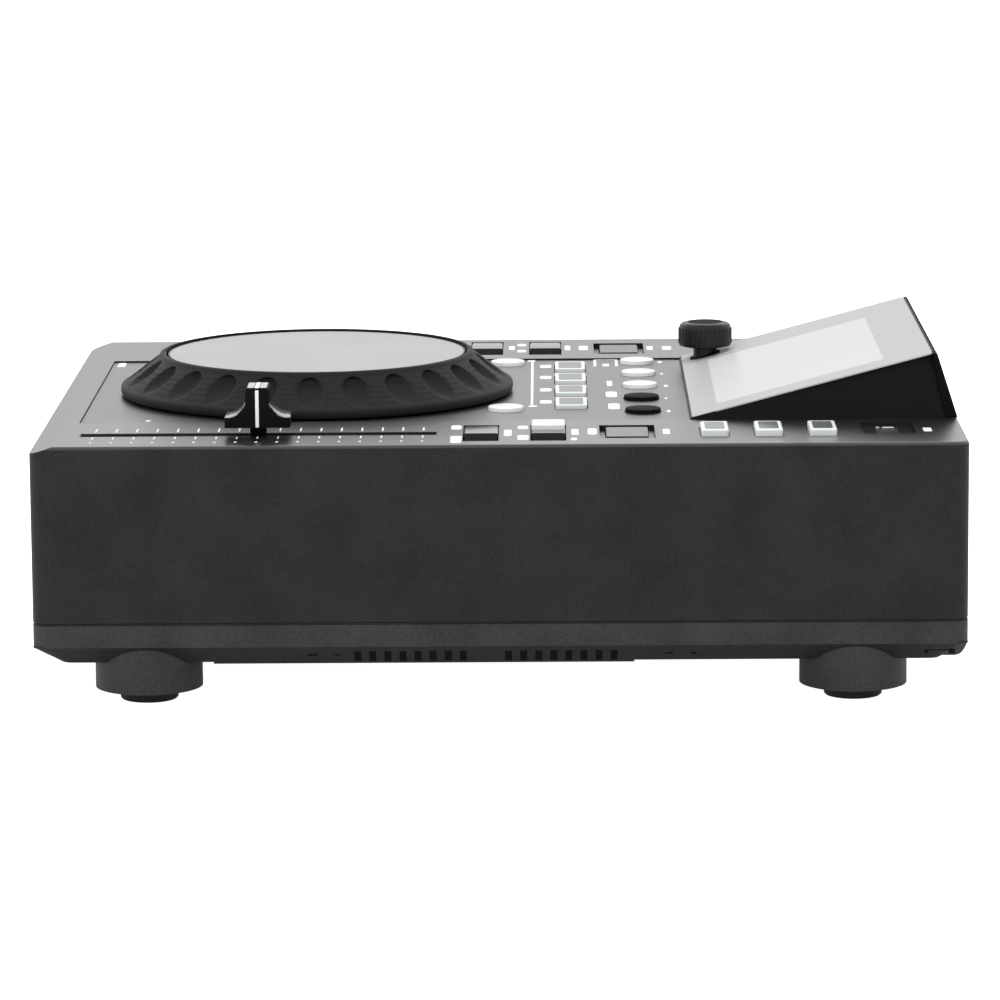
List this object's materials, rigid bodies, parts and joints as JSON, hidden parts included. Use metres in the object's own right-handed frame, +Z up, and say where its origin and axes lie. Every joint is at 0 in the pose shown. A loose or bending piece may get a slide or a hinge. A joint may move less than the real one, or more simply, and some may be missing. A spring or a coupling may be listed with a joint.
{
  "type": "tabletop disc player",
  "caption": "Tabletop disc and USB player for DJ use with a jog wheel, pitch fader, control keys and a tilted display on a charcoal case.",
  "frame": {"origin": "centre of the bounding box at the height of the foot pads", "axes": "+Z up, -Y towards the user and the disc slot, +X to the user's right"},
  "size_m": [0.228, 0.285, 0.1014],
  "materials": {
    "body_plastic": "fine-grained charcoal moulding",
    "panel_plastic": "satin black coated panel",
    "rubber": "matt rubber",
    "silver_plate": "fine brushed, satin",
    "key_black": "satin",
    "key_white": "translucent white, lit from below",
    "lens": "clear hard-coated panel over a bright screen",
    "lcd": "metal-framed module",
    "board": "green laminate",
    "steel": "zinc-plated sheet",
    "motor": "turned",
    "connector": "moulded"
  },
  "bodies": {
    "chassis": {"upper_housing": "body_plastic", "lower_case": "body_plastic", "feet": "body_plastic", "foot_pads": "rubber", "control_panel": "panel_plastic", "jog_mount": "key_black", "jog_bearings": "steel", "fader_track": "steel", "display_housing": "body_plastic", "display_lens": "lens", "lcd_module": "lcd", "encoder_switch": "connector", "drive_frame": "steel", "drive_lid": "steel", "spindle_motor": "motor", "sled_rails": "steel", "disc_slot_frame": "key_black", "main_board": "board", "power_supply": "board", "control_boards": "board", "rear_panel": "steel", "rear_sockets": "connector", "power_inlet": "connector", "usb_socket": "steel", "case_screws": "steel"},
    "jog_wheel": {"jog_grip": "rubber", "jog_hub": "key_black", "jog_plate": "silver_plate", "jog_spindle": "steel"},
    "pitch_fader": {"fader_cap": "key_black"},
    "encoder_shaft_body": {"encoder_spindle": "steel"},
    "encoder_knob_body": {"encoder_knob": "key_black"},
    "time_button_cap": {"time_button": "key_white"},
    "loop_button_cap": {"loop_button": "key_white"},
    "hot_cue_1_cap": {"hot_cue_1": "key_white"},
    "hot_cue_2_cap": {"hot_cue_2": "key_white"},
    "hot_cue_3_cap": {"hot_cue_3": "key_white"},
    "hot_cue_4_cap": {"hot_cue_4": "key_white"},
    "mode_button_1_cap": {"mode_button_1": "key_white"},
    "mode_button_2_cap": {"mode_button_2": "key_white"},
    "mode_button_3_cap": {"mode_button_3": "key_white"},
    "mode_button_4_cap": {"mode_button_4": "key_black"},
    "mode_button_5_cap": {"mode_button_5": "key_black"},
    "deck_key_1_cap": {"deck_key_1": "key_white"},
    "deck_key_2_cap": {"deck_key_2": "key_white"},
    "deck_key_3_cap": {"deck_key_3": "key_white"},
    "cue_button_cap": {"cue_button": "key_black"},
    "play_button_cap": {"play_button": "key_black"},
    "lock_bar_cap": {"lock_bar": "key_black"},
    "source_bar_cap": {"source_bar": "key_black"},
    "pitch_rocker_cap": {"pitch_rocker": "key_black"},
    "search_rocker_cap": {"search_rocker": "key_black"},
    "track_rocker_cap": {"track_rocker": "key_black"},
    "folder_rocker_cap": {"folder_rocker": "key_black"},
    "power_switch_key": {"power_switch": "key_black"},
    "disc_turntable": {"turntable": "key_black", "disc_clamp": "key_black"},
    "loading_roller": {"feed_roller": "rubber"},
    "lead_screw": {"sled_screw": "steel"},
    "pickup_sled": {"laser_sled": "key_black"}
  },
  "joints": [
    {"name": "jog_turn", "type": "hinge", "parent": "chassis", "child": "jog_wheel", "pos_m": [0, -0.0597, 0.08], "axis": [0, 0, 1], "continuous": true},
    {"name": "pitch_slide", "type": "slide", "parent": "chassis", "child": "pitch_fader", "axis": [0, 1, 0], "range_m": [-0.05, 0.05]},
    {"name": "encoder_turn", "type": "hinge", "parent": "chassis", "child": "encoder_shaft_body", "pos_m": [-0.054, 0.0676, 0.08], "axis": [0, 0, 1], "continuous": true},
    {"name": "encoder_press", "type": "slide", "parent": "encoder_shaft_body", "child": "encoder_knob_body", "axis": [0, 0, -1], "range_m": [0, 0.0005], "stiffness_N_per_m": 400, "springref_m": -0.0004},
    {"name": "time_button_press", "type": "slide", "parent": "chassis", "child": "time_button_cap", "axis": [0, 0, -1], "range_m": [0, 0.001], "stiffness_N_per_m": 400, "springref_m": -0.0004},
    {"name": "loop_button_press", "type": "slide", "parent": "chassis", "child": "loop_button_cap", "axis": [0, 0, -1], "range_m": [0, 0.001], "stiffness_N_per_m": 400, "springref_m": -0.0004},
    {"name": "hot_cue_1_press", "type": "slide", "parent": "chassis", "child": "hot_cue_1_cap", "axis": [0, 0, -1], "range_m": [0, 0.001], "stiffness_N_per_m": 400, "springref_m": -0.0004},
    {"name": "hot_cue_2_press", "type": "slide", "parent": "chassis", "child": "hot_cue_2_cap", "axis": [0, 0, -1], "range_m": [0, 0.001], "stiffness_N_per_m": 400, "springref_m": -0.0004},
    {"name": "hot_cue_3_press", "type": "slide", "parent": "chassis", "child": "hot_cue_3_cap", "axis": [0, 0, -1], "range_m": [0, 0.001], "stiffness_N_per_m": 400, "springref_m": -0.0004},
    {"name": "hot_cue_4_press", "type": "slide", "parent": "chassis", "child": "hot_cue_4_cap", "axis": [0, 0, -1], "range_m": [0, 0.001], "stiffness_N_per_m": 400, "springref_m": -0.0004},
    {"name": "mode_button_1_press", "type": "slide", "parent": "chassis", "child": "mode_button_1_cap", "axis": [0, 0, -1], "range_m": [0, 0.001], "stiffness_N_per_m": 400, "springref_m": -0.0004},
    {"name": "mode_button_2_press", "type": "slide", "parent": "chassis", "child": "mode_button_2_cap", "axis": [0, 0, -1], "range_m": [0, 0.001], "stiffness_N_per_m": 400, "springref_m": -0.0004},
    {"name": "mode_button_3_press", "type": "slide", "parent": "chassis", "child": "mode_button_3_cap", "axis": [0, 0, -1], "range_m": [0, 0.001], "stiffness_N_per_m": 400, "springref_m": -0.0004},
    {"name": "mode_button_4_press", "type": "slide", "parent": "chassis", "child": "mode_button_4_cap", "axis": [0, 0, -1], "range_m": [0, 0.001], "stiffness_N_per_m": 400, "springref_m": -0.0004},
    {"name": "mode_button_5_press", "type": "slide", "parent": "chassis", "child": "mode_button_5_cap", "axis": [0, 0, -1], "range_m": [0, 0.001], "stiffness_N_per_m": 400, "springref_m": -0.0004},
    {"name": "deck_key_1_press", "type": "slide", "parent": "chassis", "child": "deck_key_1_cap", "axis": [0, 0, -1], "range_m": [0, 0.001], "stiffness_N_per_m": 400, "springref_m": -0.0004},
    {"name": "deck_key_2_press", "type": "slide", "parent": "chassis", "child": "deck_key_2_cap", "axis": [0, 0, -1], "range_m": [0, 0.001], "stiffness_N_per_m": 400, "springref_m": -0.0004},
    {"name": "deck_key_3_press", "type": "slide", "parent": "chassis", "child": "deck_key_3_cap", "axis": [0, 0, -1], "range_m": [0, 0.001], "stiffness_N_per_m": 400, "springref_m": -0.0004},
    {"name": "cue_button_press", "type": "slide", "parent": "chassis", "child": "cue_button_cap", "axis": [0, 0, -1], "range_m": [0, 0.001], "stiffness_N_per_m": 400, "springref_m": -0.0004},
    {"name": "play_button_press", "type": "slide", "parent": "chassis", "child": "play_button_cap", "axis": [0, 0, -1], "range_m": [0, 0.001], "stiffness_N_per_m": 400, "springref_m": -0.0004},
    {"name": "lock_bar_press", "type": "slide", "parent": "chassis", "child": "lock_bar_cap", "axis": [0, 0, -1], "range_m": [0, 0.001], "stiffness_N_per_m": 400, "springref_m": -0.0004},
    {"name": "source_bar_press", "type": "slide", "parent": "chassis", "child": "source_bar_cap", "axis": [0, 0, -1], "range_m": [0, 0.001], "stiffness_N_per_m": 400, "springref_m": -0.0004},
    {"name": "pitch_rocker_tilt", "type": "hinge", "parent": "chassis", "child": "pitch_rocker_cap", "pos_m": [0.0914, -0.0056, 0.078], "axis": [0, 1, 0], "range_deg": [-3.5, 3.5], "stiffness_Nm_per_rad": 0.3},
    {"name": "search_rocker_tilt", "type": "hinge", "parent": "chassis", "child": "search_rocker_cap", "pos_m": [0.0914, 0.015, 0.078], "axis": [0, 1, 0], "range_deg": [-3.5, 3.5], "stiffness_Nm_per_rad": 0.3},
    {"name": "track_rocker_tilt", "type": "hinge", "parent": "chassis", "child": "track_rocker_cap", "pos_m": [-0.0914, -0.0056, 0.078], "axis": [0, 1, 0], "range_deg": [-3.5, 3.5], "stiffness_Nm_per_rad": 0.3},
    {"name": "folder_rocker_tilt", "type": "hinge", "parent": "chassis", "child": "folder_rocker_cap", "pos_m": [-0.0914, 0.0142, 0.078], "axis": [0, 1, 0], "range_deg": [-3.5, 3.5], "stiffness_Nm_per_rad": 0.3},
    {"name": "power_switch_tilt", "type": "hinge", "parent": "chassis", "child": "power_switch_key", "pos_m": [0.054, 0.1365, 0.048], "axis": [1, 0, 0], "range_deg": [0, 14]},
    {"name": "disc_spin", "type": "hinge", "parent": "chassis", "child": "disc_turntable", "pos_m": [0, -0.066, 0.042], "axis": [0, 0, 1], "continuous": true},
    {"name": "roller_turn", "type": "hinge", "parent": "chassis", "child": "loading_roller", "pos_m": [0, -0.125, 0.0394], "axis": [1, 0, 0], "continuous": true},
    {"name": "screw_turn", "type": "hinge", "parent": "chassis", "child": "lead_screw", "pos_m": [0.013, -0.054, 0.032], "axis": [0, 1, 0], "range_deg": [0, 4080]},
    {"name": "sled_slide", "type": "slide", "parent": "chassis", "child": "pickup_sled", "axis": [0, 1, 0], "range_m": [0, 0.034]}
  ],
  "couplings": [
    {"joint": "screw_turn", "follows": "sled_slide", "rad_per_m": 2094.4}
  ]
}
